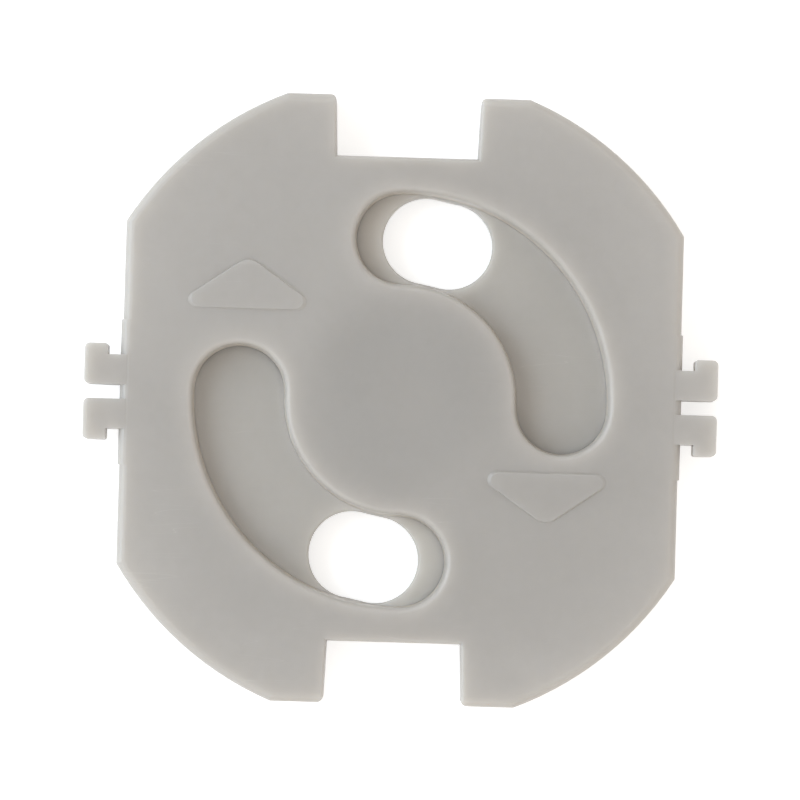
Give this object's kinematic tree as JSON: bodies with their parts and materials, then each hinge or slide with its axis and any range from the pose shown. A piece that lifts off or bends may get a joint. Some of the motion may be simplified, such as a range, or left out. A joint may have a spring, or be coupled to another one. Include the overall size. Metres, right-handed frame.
{
  "type": "outlet safety cover",
  "caption": "Round twist-to-open safety cover for a recessed socket outlet, with a sprung shutter disc behind two arc slots, earth clip notches and side snap hooks.",
  "frame": {"origin": "centre of the back plane, on the turning axis of the shutter", "axes": "+Z out of the socket towards the user, +Y towards 12 o'clock, +X across the side clips towards 3 o'clock"},
  "size_m": [0.0372, 0.0358, 0.0034],
  "materials": {
    "cover_plastic": "satin moulded off-white",
    "shutter_plastic": "satin moulded off-white",
    "spring_steel": "drawn spring wire"
  },
  "bodies": {
    "cover": {"cover_plate": "cover_plastic", "return_spring": "spring_steel"},
    "shutter": {"shutter_disc": "shutter_plastic"}
  },
  "joints": [
    {"name": "shutter_turn", "type": "hinge", "parent": "cover", "child": "shutter", "pos_m": [0, 0, 0], "axis": [0, 0, -1], "range_deg": [0, 78.3], "stiffness_Nm_per_rad": 0.003, "springref_deg": -28.65, "deforming": ["return_spring"]}
  ]
}
